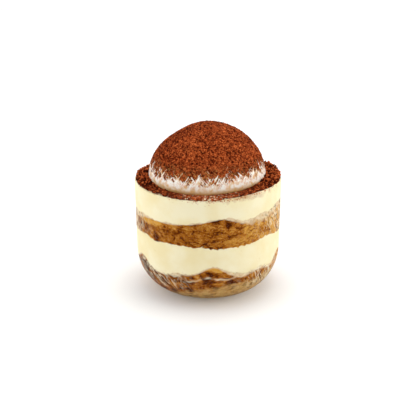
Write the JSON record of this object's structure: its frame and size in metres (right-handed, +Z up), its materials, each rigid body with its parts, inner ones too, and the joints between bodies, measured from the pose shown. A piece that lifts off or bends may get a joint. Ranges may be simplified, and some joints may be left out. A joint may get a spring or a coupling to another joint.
{
  "type": "layered tiramisu in a glass cup",
  "caption": "Layered cream and sponge dessert filling a round-bottomed clear glass cup, with a half-ball of whipped cream on top.",
  "frame": {"origin": "centre of the cup's flat foot, on the table", "axes": "+Z up; -Y is the front of the dessert; +X to its right"},
  "size_m": [0.07, 0.07, 0.0808],
  "materials": {
    "glass_clear": "clear, smooth, thin-walled",
    "sponge_soaked": "coffee-soaked sponge, porous and moist",
    "cream_mascarpone": "smooth pale yellow cream, soft sheen",
    "cocoa_dusted_cream": "whipped cream under a dull layer of cocoa powder"
  },
  "bodies": {
    "root": {"glass_cup": "glass_clear", "base_sponge": "sponge_soaked", "lower_cream": "cream_mascarpone", "middle_sponge": "sponge_soaked", "upper_cream": "cream_mascarpone", "cream_dome": "cocoa_dusted_cream"}
  },
  "joints": []
}
